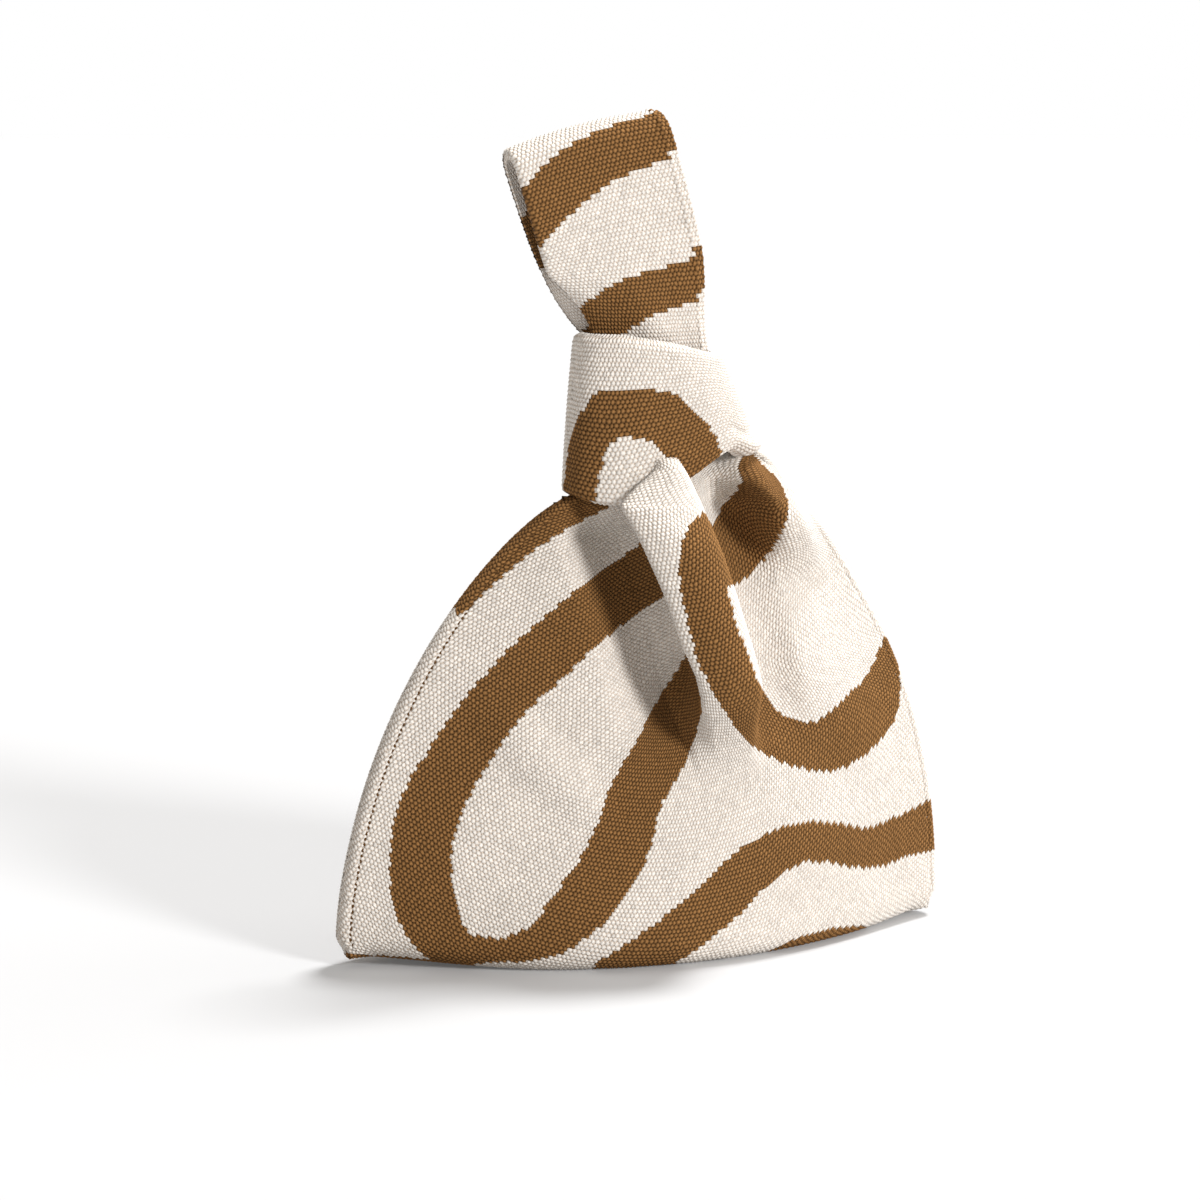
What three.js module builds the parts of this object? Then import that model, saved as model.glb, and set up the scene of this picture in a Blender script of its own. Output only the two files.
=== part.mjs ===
import * as THREE from 'three';

// Knitted knot bag. Millimetres, +Z up, front towards -Y, width along X.

// Cloth
const fabric = 4.2; // thickness of the double knit
const clear = 0.3; // gap between neighbouring pieces
const yarnRadius = 1.1; // linking yarn in the seams

// Pouch
const bodyHalf = 143; // half of the width at the base
const leftNeck = 32; // left reach where the pouch enters the knot
const leftRise = 194.5; // height of that place
const leftBow = 1.75;
const leftEase = 0.62;
const rightNeck = 46.5;
const rightRise = 221;
const rightBow = 2.45;
const rightEase = 0.98;
const baseDepth = 54; // half depth at the base
const depthBow = 1.7;
const turnRadius = 12; // bottom edge
const cornerLift = 5.5; // how far the bottom corners stand off the floor
const innerTop = 224; // top of the panels inside the knot
const rightTop = 213; // top of the panels at the right edge, under the band
const seamLow = 9; // ends of the side seams
const seamHigh = 150;
const seamInset = 0.6; // of the seam's yarn behind the panel's edge

// Fold of the neckline, front and back
const tipX = -4;
const tipZ = 217;
const footX = 19;
const footZ = 112;
const foldStart = 80; // height where the fold begins to show
const foldGrow = 70; // height over which it reaches its full depth
const foldHalf = 20;
const foldDepth = 25;
const foldLean = 0.45; // sideways share of the fold's depth
const leftValley = 15;
const rightValley = 9;

// Short handle, tied as a band
const bandLow = 197; // lower edge at the left
const bandLowRise = 24; // how much higher the lower edge is at the right
const bandTop = 268; // upper edge at the left
const bandTopDrop = 8;
const bandLowX = 12;
const bandLowHalf = 49.5;
const bandLowDepth = 27;
const bandTopX = -0.5;
const bandTopHalf = 31.5;
const bandTopDepth = 20.5;
const bandSquare = 0.85; // 1 is an ellipse, less is squarer
const bandSlack = 0.8; // between the band and the cloth that it grips
const notchGap = 1.5; // between the band's lower edge and the cloth beside the fold

// Long handle
const lean = THREE.MathUtils.degToRad(18); // of the loop, to the left
const topSlope = THREE.MathUtils.degToRad(13.5); // of the loop's top edge
const swingX = -2; // place of the bend where the loop leaves the knot
const swingLift = 8.5; // height of that bend over the band
const strapTop = 72; // width of the strap
const strapRoot = 52; // width of the strap gathered in the knot
const strapFlare = 50; // length over which it widens
const loopLength = 90; // from the bend to the top of the loop
const loopGap = 14; // between the two straps at the top
const rootGap = 4; // between the two straps at the bend
const tailLength = 38; // of the long handle inside the knot

const swingZ = bandTop + swingLift;
const rootRadius = rootGap / 2 + fabric;
const topRadius = loopGap / 2 + fabric;
const gatherDepth = bandTopDepth - fabric - bandSlack; // half depth of the long handle inside the knot

const creamCloth = 0xe8ddcf;
const brownCloth = 0x7a5730;
const group = new THREE.Group();

function add(name, geometry, color) {
  const material = new THREE.MeshStandardMaterial({ color, roughness: 0.95 });
  const mesh = new THREE.Mesh(geometry, material);
  mesh.name = name;
  group.add(mesh);
}

function smooth(value) {
  const k = THREE.MathUtils.clamp(value, 0, 1);
  return k * k * (3 - 2 * k);
}

function power(value, exponent) {
  return Math.sign(value) * Math.abs(value) ** exponent;
}

// Centre, half width and half depth of the band's outer face at height z.
function bandAt(z) {
  const k = (z - bandLow) / (bandTop - bandLow);
  return {
    x: bandLowX + (bandTopX - bandLowX) * k,
    half: bandLowHalf + (bandTopHalf - bandLowHalf) * k,
    depth: bandLowDepth + (bandTopDepth - bandLowDepth) * k,
  };
}

// Closed solid of a cloth sheet: the outer face is a grid of points, the inner one lies a thickness behind it.
// side is -1 for a sheet in front of the middle plane and 1 for one behind it, and neither crosses that plane.
function sheet(columns, rows, pointAt, side) {
  const outer = [];
  for (let i = 0; i <= columns; i += 1) {
    for (let j = 0; j <= rows; j += 1) {
      outer.push(pointAt(i / columns, j / rows));
    }
  }
  const at = (i, j) => i * (rows + 1) + j;
  const inner = [];
  for (let i = 0; i <= columns; i += 1) {
    for (let j = 0; j <= rows; j += 1) {
      const along = outer[at(Math.min(i + 1, columns), j)].clone().sub(outer[at(Math.max(i - 1, 0), j)]);
      const upward = outer[at(i, Math.min(j + 1, rows))].clone().sub(outer[at(i, Math.max(j - 1, 0))]);
      const normal = along.cross(upward).normalize();
      const point = outer[at(i, j)].clone().addScaledVector(normal, -fabric);
      point.y = side * Math.max(side * point.y, clear / 2);
      inner.push(point);
    }
  }
  const count = outer.length;
  const faces = [];
  const quad = (a, b, c, d) => faces.push(a, b, c, a, c, d);
  for (let i = 0; i < columns; i += 1) {
    for (let j = 0; j < rows; j += 1) {
      const a = at(i, j);
      const b = at(i + 1, j);
      const c = at(i + 1, j + 1);
      const d = at(i, j + 1);
      quad(a, b, c, d);
      quad(count + d, count + c, count + b, count + a);
    }
  }
  for (let i = 0; i < columns; i += 1) {
    quad(count + at(i, 0), count + at(i + 1, 0), at(i + 1, 0), at(i, 0));
    quad(at(i, rows), at(i + 1, rows), count + at(i + 1, rows), count + at(i, rows));
  }
  for (let j = 0; j < rows; j += 1) {
    quad(at(0, j), at(0, j + 1), count + at(0, j + 1), count + at(0, j));
    quad(count + at(columns, j), count + at(columns, j + 1), at(columns, j + 1), at(columns, j));
  }
  const geometry = new THREE.BufferGeometry();
  geometry.setAttribute('position', new THREE.BufferAttribute(pack([...outer, ...inner]), 3));
  geometry.setIndex(faces);
  return geometry;
}

function pack(points) {
  const numbers = new Float32Array(points.length * 3);
  points.forEach((point, index) => point.toArray(numbers, index * 3));
  return numbers;
}

// Round yarn along a line of points.
function yarn(points, radius, steps) {
  const section = new THREE.Shape();
  section.absarc(0, 0, radius, 0, 2 * Math.PI);
  return new THREE.ExtrudeGeometry(section, {
    curveSegments: 4,
    steps,
    bevelEnabled: false,
    extrudePath: new THREE.CatmullRomCurve3(points),
  });
}

function reach(z, neck, rise, bow, ease) {
  const k = THREE.MathUtils.clamp(z / rise, 0, 1);
  return neck + (bodyHalf - neck) * (1 - k ** bow) ** ease;
}

// The side edges follow the pouch up to the knot, and the inside of the band above that.
function sideEdges(z) {
  const low = bandAt(bandLow);
  const top = bandAt(bandTop);
  const height = bandTop - bandLow;
  const leftSlope = (top.x - top.half - low.x + low.half) / height;
  const rightSlope = (low.x + low.half - top.x - top.half) / height;
  const left = -reach(z, leftNeck, leftRise, leftBow, leftEase);
  const right = reach(z, rightNeck, rightRise, rightBow, rightEase);
  return {
    left: left + leftSlope * Math.max(z - leftRise, 0),
    right: right - rightSlope * Math.max(z - rightRise, 0),
  };
}

// Half depth of the pouch.
function pouchDepth(z) {
  const k = THREE.MathUtils.clamp(z / bandLow, 0, 1);
  const neckDepth = bandLowDepth - fabric;
  return neckDepth + (baseDepth - neckDepth) * (1 - k ** depthBow);
}

// Half depth that the inside of the band leaves at x.
function bandRoom(x, z) {
  const band = bandAt(z);
  const share = Math.min(Math.abs(x - band.x) / (band.half - fabric), 1);
  return (band.depth - fabric) * (1 - share ** (2 / bandSquare)) ** (bandSquare / 2) - bandSlack;
}

// Height of the band's lower edge over x.
function bandEdge(x) {
  const band = bandAt(bandLow);
  const share = THREE.MathUtils.clamp((x - band.x) / band.half, -1, 1);
  return bandLow + bandLowRise * ((1 + power(share, 1 / bandSquare)) / 2) ** 2;
}

function foldX(z) {
  return tipX + ((footX - tipX) * (tipZ - z)) / (tipZ - footZ);
}

// The columns of a panel run beside the fold, so that it keeps its shape.
const leftShare = 0.42;
const foldShare = 0.26;

function acrossAt(s, z) {
  const { left, right } = sideEdges(z);
  const foldLeft = foldX(z) - foldHalf;
  const foldRight = foldX(z) + foldHalf;
  if (s < leftShare) {
    return left + (foldLeft - left) * (s / leftShare);
  }
  if (s < leftShare + foldShare) {
    return foldLeft + (foldRight - foldLeft) * ((s - leftShare) / foldShare);
  }
  const rest = 1 - leftShare - foldShare;
  return foldRight + (right - foldRight) * ((s - leftShare - foldShare) / rest);
}

function bump(value, width) {
  return Math.max(1 - (value / width) ** 2, 0) ** 2;
}

// Place on the standing wall of a panel: x, and the distance from the middle plane.
function wallAt(s, z, fold) {
  const { left, right } = sideEdges(z);
  const x = acrossAt(s, z);
  const place = (2 * x - left - right) / (right - left);
  const edge = fabric + clear / 2;
  const loose = edge + (pouchDepth(z) - edge) * Math.max(1 - place ** 2, 0) ** 0.85;
  const gripped = Math.max(Math.min(loose, bandRoom(x, z)), edge);
  const y = loose + (gripped - loose) * smooth((z - bandEdge(x) + 9) / 6);
  const q = (x - foldX(z)) / foldHalf;
  const grow = fold * smooth((z - foldStart) / foldGrow);
  const crest = foldDepth * grow * Math.max(1 - Math.abs(q) ** 2.5, 0) ** 1.2;
  const fade = 1 - smooth((z - bandLow + 25) / 22);
  const valleys = (leftValley * bump(q + 1.6, 1.1) + rightValley * bump(q - 1.6, 0.9)) * grow * fade;
  return { x: x - foldLean * crest, y: y + crest - valleys };
}

// Height of a panel's top edge: inside the band, below it beside the fold, and in front of it at the tip.
function panelTop(s) {
  const inner = innerTop + (rightTop - innerTop) * smooth((s - 0.86) / 0.08);
  const z = tipZ - 10;
  const x = acrossAt(s, z);
  const q = (x - foldX(z)) / foldHalf;
  const under = (q < 0 ? bandLow : bandEdge(x)) - notchGap;
  const tip = under + (tipZ - under) * Math.sqrt(Math.max(1 - (q / 0.7) ** 2, 0));
  const inside = under + (inner - under) * smooth((Math.abs(q) - 1.25) / 0.4);
  return Math.max(tip, inside);
}

// A panel runs from the seam under the pouch, round the bottom edge and up the wall.
// One row of points lies level where the left edge enters the knot.
const kneeShare = 0.8;

function panelPoint(s, t, side) {
  const wallY = wallAt(s, turnRadius, 0).y;
  const inward = (clear / 2 - wallY + turnRadius) / (turnRadius - fabric);
  const start = Math.asin(THREE.MathUtils.clamp(inward, 0, 1));
  const under = Math.max(wallY - clear / 2 - turnRadius, 0);
  const round = turnRadius * (Math.PI / 2 - start);
  const wallLow = turnRadius * Math.cos(start);
  const top = panelTop(s);
  const low = Math.min(t / kneeShare, 1) * (under + round + leftRise - wallLow);
  const path = low + Math.max((t - kneeShare) / (1 - kneeShare), 0) * (top - leftRise);
  const foot = wallAt(s, wallLow, 0).x;
  const { left, right } = sideEdges(0);
  const place = Math.abs((2 * acrossAt(s, 0) - left - right) / (right - left));
  const lift = cornerLift * Math.max((place - 0.6) / 0.4, 0) ** 2;
  const point = new THREE.Vector3(foot, clear / 2 + path, 0);
  if (path > under + round) {
    const z = wallLow + path - under - round;
    const wall = wallAt(s, z, 1);
    point.set(wall.x, wall.y, z);
  } else if (path > under) {
    const angle = start + (path - under) / turnRadius;
    point.y = wallY - turnRadius * (1 - Math.sin(angle));
    point.z = turnRadius * (Math.cos(start) - Math.cos(angle));
  }
  point.y *= side;
  point.z += lift * (1 - smooth(point.z / 60));
  return point;
}

add('front_panel', sheet(34, 25, (s, t) => panelPoint(s, t, -1), -1), creamCloth);
add('back_panel', sheet(34, 25, (s, t) => panelPoint(1 - s, t, 1), 1), creamCloth);

// Yarn in the notch between the edges of the two panels, up to where the handles part.
function sideSeam(s, inward) {
  const points = [];
  for (let k = 0; k <= 12; k += 1) {
    const point = panelPoint(s, (kneeShare * (seamLow + (seamHigh - seamLow) * (k / 12))) / leftRise, -1);
    points.push(new THREE.Vector3(point.x + inward * seamInset, 0, point.z));
  }
  return yarn(points, yarnRadius, 16);
}

add('left_side_seam', sideSeam(0, 1), brownCloth);
add('right_side_seam', sideSeam(1, -1), creamCloth);

// The bottom seam stands on the inside, over the line where the panels meet.
const bottomLine = [];
for (let k = 0; k <= 12; k += 1) {
  const point = panelPoint(0.13 + 0.74 * (k / 12), 0, -1);
  bottomLine.push(new THREE.Vector3(point.x, 0, point.z + fabric + clear + yarnRadius));
}
add('bottom_seam', yarn(bottomLine, yarnRadius, 16), brownCloth);

// Outer face of the band: s runs round half of it, t up it.
function bandPoint(s, t, side) {
  const angle = Math.PI * (side < 0 ? 1 - s : s);
  const right = (1 + Math.cos(angle)) / 2;
  const low = bandLow + bandLowRise * right ** 2;
  const top = bandTop - bandTopDrop * right ** 2;
  const z = low + (top - low) * t;
  const { x, half, depth } = bandAt(z);
  const y = clear / 2 + (depth - clear / 2) * power(Math.sin(angle), bandSquare);
  return new THREE.Vector3(x + half * power(Math.cos(angle), bandSquare), side * y, z);
}

add('short_handle_front', sheet(20, 4, (s, t) => bandPoint(s, t, -1), -1), creamCloth);
add('short_handle_back', sheet(20, 4, (s, t) => bandPoint(s, t, 1), 1), creamCloth);

// The two halves of the short handle are linked inside the left end of the band.
const joinLine = [];
for (let k = 0; k <= 4; k += 1) {
  const z = innerTop + 4 + (bandTop - innerTop - 8) * (k / 4);
  const { x, half } = bandAt(z);
  joinLine.push(new THREE.Vector3(x - half + fabric + clear + yarnRadius, 0, z));
}
add('short_handle_join', yarn(joinLine, yarnRadius, 8), brownCloth);

// Half of the gathered long handle inside the knot: a D in plan, drawn along the lean of the loop.
function tail(side) {
  const top = swingZ - rootRadius - clear;
  const rings = [0, 1].map((end) => {
    const z = top - tailLength * (1 - end);
    const x = swingX + (swingZ - z) * Math.tan(lean);
    const ring = [];
    for (let k = 0; k <= 12; k += 1) {
      const p = side * Math.cos((Math.PI * k) / 12);
      const round = Math.max(1 - Math.abs(p) ** (2 / bandSquare), 0.02) ** (bandSquare / 2);
      const y = clear / 2 + gatherDepth * round;
      ring.push(new THREE.Vector3(x + (p * strapRoot) / 2, side * y, z));
    }
    ring.push(new THREE.Vector3(x - (side * strapRoot) / 2, (side * clear) / 2, z));
    ring.push(new THREE.Vector3(x + (side * strapRoot) / 2, (side * clear) / 2, z));
    return ring;
  });
  return prism(rings[0], rings[1]);
}

// Closed solid between two level rings of points that run the same way round.
function prism(low, high) {
  const count = low.length;
  const middle = (ring) => ring.reduce((sum, point) => sum.add(point), new THREE.Vector3()).divideScalar(count);
  const points = [...low, ...high, middle(low), middle(high)];
  const faces = [];
  for (let k = 0; k < count; k += 1) {
    const next = (k + 1) % count;
    faces.push(k, next, count + next, k, count + next, count + k);
    faces.push(2 * count, next, k, 2 * count + 1, count + k, count + next);
  }
  const geometry = new THREE.BufferGeometry();
  geometry.setAttribute('position', new THREE.BufferAttribute(pack(points), 3));
  geometry.setIndex(faces);
  return geometry;
}

add('long_handle_front_tail', tail(-1), creamCloth);
add('long_handle_back_tail', tail(1), creamCloth);

// Line of a strap in the plane of its thickness: distance from the middle plane and height over the bend.
// It curls in at the bend, lies flat over the knot when folded, opens towards the top and turns over there.
function strapLine(t, inset) {
  const straight = loopLength - topRadius;
  const lowArc = (rootRadius * Math.PI) / 2;
  const topArc = (topRadius * Math.PI) / 2;
  const path = t * (lowArc + straight + topArc);
  if (path < lowArc) {
    const angle = path / rootRadius;
    const radius = rootRadius - inset;
    return { half: radius * Math.sin(angle), up: -radius * Math.cos(angle) };
  }
  if (path < lowArc + straight) {
    const up = path - lowArc;
    const open = smooth((up - gatherDepth) / (straight - gatherDepth));
    return { half: rootRadius + (topRadius - rootRadius) * open - inset, up };
  }
  const angle = (path - lowArc - straight) / topRadius;
  const radius = topRadius - inset;
  return { half: radius * Math.cos(angle), up: straight + radius * Math.sin(angle) };
}

// Place on a strap, extra millimetres outside its edge, inset from its outer face.
function strapPoint(p, t, side, extra, inset) {
  const { half, up } = strapLine(t, inset);
  const width = strapRoot + (strapTop - strapRoot) * smooth((up + 11) / strapFlare);
  const across = p * (width / 2 + extra);
  const tilt = topSlope * smooth(up / 60);
  const y = side * Math.max(half, clear / 2);
  const x = swingX + across * Math.cos(tilt) - up * Math.sin(lean);
  return new THREE.Vector3(x, y, swingZ + across * Math.sin(tilt) + up * Math.cos(lean));
}

add('long_handle_front_strap', sheet(6, 24, (s, t) => strapPoint(2 * s - 1, t, -1, 0, 0), -1), creamCloth);
add('long_handle_back_strap', sheet(6, 24, (s, t) => strapPoint(1 - 2 * s, t, 1, 0, 0), 1), creamCloth);

// Linked selvedge along an edge of a strap, from over the bend to short of the top.
function strapEdge(p, side) {
  const points = [];
  for (let k = 0; k <= 14; k += 1) {
    points.push(strapPoint(p, 0.14 + 0.76 * (k / 14), side, clear + yarnRadius, fabric / 2));
  }
  return yarn(points, yarnRadius, 16);
}

add('long_handle_front_left_edge', strapEdge(-1, -1), creamCloth);
add('long_handle_front_right_edge', strapEdge(1, -1), creamCloth);
add('long_handle_back_left_edge', strapEdge(-1, 1), creamCloth);
add('long_handle_back_right_edge', strapEdge(1, 1), creamCloth);

// The straps are linked under the top of the loop.
const topLine = [-1, 0, 1].map((p) => strapPoint(p, 1, 1, -clear, fabric + clear + yarnRadius).setY(0));
add('long_handle_top_join', yarn(topLine, yarnRadius, 8), brownCloth);

export default group;
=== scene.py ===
import math

import bpy
import numpy as np
from mathutils import Matrix, Vector


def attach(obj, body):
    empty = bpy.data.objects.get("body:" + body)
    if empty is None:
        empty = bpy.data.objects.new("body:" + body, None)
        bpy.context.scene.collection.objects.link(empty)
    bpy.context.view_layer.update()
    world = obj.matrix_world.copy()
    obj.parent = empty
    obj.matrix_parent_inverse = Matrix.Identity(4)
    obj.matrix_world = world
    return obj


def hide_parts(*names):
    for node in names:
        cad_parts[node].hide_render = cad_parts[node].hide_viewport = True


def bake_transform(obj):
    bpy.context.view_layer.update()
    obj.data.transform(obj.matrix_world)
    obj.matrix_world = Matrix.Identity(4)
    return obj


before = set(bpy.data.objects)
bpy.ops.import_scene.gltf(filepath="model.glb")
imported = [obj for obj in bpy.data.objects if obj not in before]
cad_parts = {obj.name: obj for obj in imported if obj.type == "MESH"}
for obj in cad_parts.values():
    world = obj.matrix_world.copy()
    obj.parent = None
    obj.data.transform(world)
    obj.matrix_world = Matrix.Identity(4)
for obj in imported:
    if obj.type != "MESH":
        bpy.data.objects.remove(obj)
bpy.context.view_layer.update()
mm = 0.001
print("frame loaded:", sorted(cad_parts))

# Camera, at the photograph's angle. The picture is square.
camera = dict(
    azimuth=-20.0,
    elevation=9.0,
    lens=100.0,
    sensor=36.0,
    distance=1.47,
    farEnd=20.0,
    target=(-0.0212, 0.0, 0.1555),
    pixels=1200,
)


def cameraAxes():  # place of the lens, and the directions right, up and forward in the picture
    a, e = math.radians(camera["azimuth"]), math.radians(camera["elevation"])
    back = np.array([math.sin(a) * math.cos(e), -math.cos(a) * math.cos(e), math.sin(e)])
    right = np.array([math.cos(a), math.sin(a), 0.0])
    return np.array(camera["target"]) + back * camera["distance"], right, np.cross(back, right), -back


def makeCamera():
    place, right, up, forward = cameraAxes()
    data = bpy.data.cameras.new("camera")
    data.lens = camera["lens"]
    data.sensor_width = camera["sensor"]
    data.clip_end = camera["farEnd"]
    obj = bpy.data.objects.new("camera", data)
    bpy.context.scene.collection.objects.link(obj)
    turn = np.eye(4)
    turn[:3, :4] = np.stack([right, up, -forward, place], axis=1)
    obj.matrix_world = Matrix(turn.tolist())
    bpy.context.scene.camera = obj


def photoPlace(points):  # pixel of the picture at which each point shows
    place, right, up, forward = cameraAxes()
    away = points - place
    scale = camera["lens"] / camera["sensor"] * camera["pixels"] / (away @ forward)
    half = camera["pixels"] / 2
    return np.stack([half + scale * (away @ right), half - scale * (away @ up)], axis=-1)


makeCamera()

# Cloth: a double knit in two yarns. Lengths in millimetres.
cloth = dict(
    thick=4.2,
    clear=0.3,
    wale=2.05,  # from one stitch to the next across
    course=1.85,  # from one row to the next
    across=4,  # points over a stitch's width
    along=2,  # points over its height
    relief=0.6,
    lift=0.15,  # of the knit face off the sheet
    rim=1.2,  # rounding of the sheets' edges
    rimSteps=2,
    rimAngle=50.0,  # edges that turn by more degrees are rounded
    tone=0.95,  # of the sheet under its knit face, a little darker: painted shade beneath the stitches
    border=0.01,  # share left free round the map for baking
)
stitch = dict(
    rising=1.0,  # weights of the three waves of its relief
    falling=0.85,
    level=1.0,
    depth=1.45,
    flat=2.2,  # more makes its top flatter
    uneven=0.05,  # in tone, and in place as a share of the stitch
    shift=0.09,
    tones=(0.8, 1.15),  # darkest and lightest stitch
)


def smooth(value):  # eased step from 0 to 1
    k = np.clip(value, 0, 1)
    return k * k * (3 - 2 * k)


def power(value, exponent):  # power that keeps the sign
    return np.sign(value) * np.abs(value) ** exponent


def ease(value, start, reach):  # the same step, from start over a stretch of reach
    return smooth((value - start) / reach)


def hump(value, middle, half):  # round hump of height 1, to a half width on each side of its middle
    return np.maximum(1 - ((value - middle) / half) ** 2, 0) ** 2


def roundEnd(distance, radius):  # how far a surface draws in over the last radius before its edge
    k = np.clip(1 - distance / radius, 0, 1)
    return radius * (1 - np.sqrt(1 - k * k))


def unit(vectors):
    return vectors / np.maximum(np.linalg.norm(vectors, axis=-1, keepdims=True), 1e-12)


def gridNormals(points):  # along the columns crossed with along the rows
    return unit(np.cross(np.gradient(points, axis=0), np.gradient(points, axis=1)))


def gridQuads(count, rows):  # quads of a grid whose points run up each column in turn
    at = np.arange(count * rows).reshape(count, rows)
    return np.stack([at[:-1, :-1], at[1:, :-1], at[1:, 1:], at[:-1, 1:]], axis=-1)


def makeObject(name, points, quads, flip=False):
    mesh = bpy.data.meshes.new(name)
    quads = quads[:, ::-1] if flip else quads
    used, place = np.unique(quads, return_inverse=True)
    quads = place.reshape(quads.shape)
    mesh.from_pydata((points[used] * mm).tolist(), [], quads.tolist())
    mesh.polygons.foreach_set("use_smooth", np.ones(len(quads), bool))
    mesh.update()
    obj = bpy.data.objects.new(name, mesh)
    bpy.context.scene.collection.objects.link(obj)
    return obj, quads, used


def setFaceValue(obj, name, values):
    layer = obj.data.attributes.new(name, "FLOAT", "FACE")
    layer.data.foreach_set("value", np.asarray(values, np.float32))


def setMap(obj, name, places, quads):  # a UV map from one place for each point
    layer = obj.data.uv_layers.new(name=name)
    layer.uv.foreach_set("vector", places[quads.ravel()].astype(np.float32).ravel())


# Stripes, as the picture shows them: x, y and width in its pixels along each stripe's middle.
lowStripes = dict(
    wave=[
        (945, 820, 50), (905, 835, 42), (868, 848, 40), (825, 842, 40), (790, 846, 40), (750, 870, 46),
        (714, 905, 48), (677, 935, 45), (643, 957, 41), (610, 978, 41),
    ],
    hump=[(758, 961, 12), (797, 949, 21), (830, 940, 23), (858, 934, 17), (875, 931, 5)],
    heel=[(333, 955, 7), (380, 958, 7), (425, 962, 7), (460, 967, 5)],
)
leftStripes = dict(
    lowStripes,
    shoulder=[(600, 492, 34), (545, 525, 30), (500, 563, 24), (460, 607, 14)],
    bigLoop=[
        (720, 540, 50), (668, 560, 56), (605, 603, 55), (548, 652, 58), (500, 700, 56), (460, 755, 58),
        (430, 810, 62), (421, 860, 62), (426, 905, 62), (447, 942, 45), (490, 950, 24), (540, 941, 36),
        (574, 913, 55), (602, 879, 60), (622, 840, 58), (636, 795, 54), (658, 757, 54), (677, 715, 48),
        (697, 668, 32), (712, 640, 24),
    ],
)
rightStripes = dict(
    lowStripes,
    foldLoop=[
        (703, 516, 6), (700, 540, 32), (700, 560, 42), (704, 590, 46), (711, 620, 46), (722, 656, 48),
        (743, 700, 43), (768, 731, 43), (803, 745, 46), (835, 742, 54), (866, 714, 54), (882, 685, 36),
        (887, 640, 8),
    ],
    neckPatch=[
        (748, 457, 12), (752, 472, 24), (759, 488, 38), (760, 505, 54), (752, 521, 64), (742, 536, 64),
        (730, 555, 56), (720, 568, 44),
    ],
)
bandStripes = dict(
    arch=[
        (578, 506, 30), (584, 465, 34), (595, 432, 42), (615, 415, 48), (645, 414, 50), (672, 425, 52),
        (692, 447, 50), (704, 466, 40),
    ],
    leftCorner=[(601, 403, 22), (612, 403, 24)],
    rightCorner=[(652, 402, 24), (668, 405, 26)],
)
loopStripes = dict(
    upper=[
        (505, 247, 50), (537, 211, 51), (557, 190, 54), (578, 172, 54), (612, 153, 51), (650, 140, 48),
        (690, 128, 46),
    ],
    lower=[(575, 340, 44), (612, 313, 48), (640, 297, 44), (672, 287, 42), (718, 271, 42)],
)


def curveThrough(knots, steps=12):  # smooth line through the knots, bent in each span by its ends' slopes
    knots = np.array(knots, float)
    slope = np.gradient(knots, axis=0)
    k = np.linspace(0, 1, steps, endpoint=False)[:, None]
    a, b, c, d = 2 * k**3 - 3 * k**2 + 1, k**3 - 2 * k**2 + k, 3 * k**2 - 2 * k**3, k**3 - k**2
    spans = [a * p + b * m + c * q + d * n for p, q, m, n in zip(knots, knots[1:], slope, slope[1:])]
    return np.concatenate([*spans, knots[-1:]])


def brownAt(points, group, shift=0.0):  # inside a stripe: nearer to its middle than half its width there
    seen = photoPlace(points.reshape(-1, 3) * mm)
    seen[:, 1] += np.ravel(shift)
    inside = np.zeros(len(seen), bool)
    for knots in group.values():
        for middle in curveThrough(knots):
            inside |= ((seen - middle[:2]) ** 2).sum(1) < (middle[2] / 2) ** 2
    return inside.reshape(points.shape[:-1])


# Shader maths: a wrapped socket whose operators add Math nodes.
class Value:
    def __init__(self, tree, socket):
        self.tree = tree
        self.socket = socket

    def math(self, operation, other=None, swap=False):
        parts = [self] if other is None else [other, self] if swap else [self, other]
        node = self.tree.nodes.new("ShaderNodeMath")
        node.operation = operation
        for slot, part in zip(node.inputs, parts):
            if isinstance(part, Value):
                self.tree.links.new(part.socket, slot)
            else:
                slot.default_value = part
        return Value(self.tree, node.outputs[0])

    def other(self, output):  # another output of the same node
        return Value(self.tree, self.socket.node.outputs[output])

    def __add__(self, other):
        return self.math("ADD", other)

    def __radd__(self, other):
        return self.math("ADD", other, True)

    def __sub__(self, other):
        return self.math("SUBTRACT", other)

    def __rsub__(self, other):
        return self.math("SUBTRACT", other, True)

    def __mul__(self, other):
        return self.math("MULTIPLY", other)

    def __rmul__(self, other):
        return self.math("MULTIPLY", other, True)

    def __pow__(self, other):
        return self.math("POWER", other)


class Nodes:
    def __init__(self, tree):
        self.tree = tree

    def node(self, kind, settings, sockets, output=0):  # any node: its settings first, then values or links
        made = self.tree.nodes.new(kind)
        for key, value in settings.items():
            setattr(made, key, value)
        for key, value in sockets.items():
            if isinstance(value, Value):
                self.tree.links.new(value.socket, made.inputs[key])
            else:
                made.inputs[key].default_value = value
        return Value(self.tree, made.outputs[output])

    def mix(self, share, first, second, blend="MIX"):  # colours
        sockets = {0: share, 6: first, 7: second}
        return self.node("ShaderNodeMix", dict(data_type="RGBA", blend_type=blend), sockets, 2)


class Finish(Nodes):
    def __init__(self, name):
        self.material = bpy.data.materials.new(name)
        self.material.use_nodes = True
        super().__init__(self.material.node_tree)
        self.shader = self.tree.nodes["Principled BSDF"]

    def set(self, **sockets):
        for key, value in sockets.items():
            slot = self.shader.inputs[key.replace("_", " ")]
            if isinstance(value, Value):
                self.tree.links.new(value.socket, slot)
            else:
                slot.default_value = value


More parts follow.
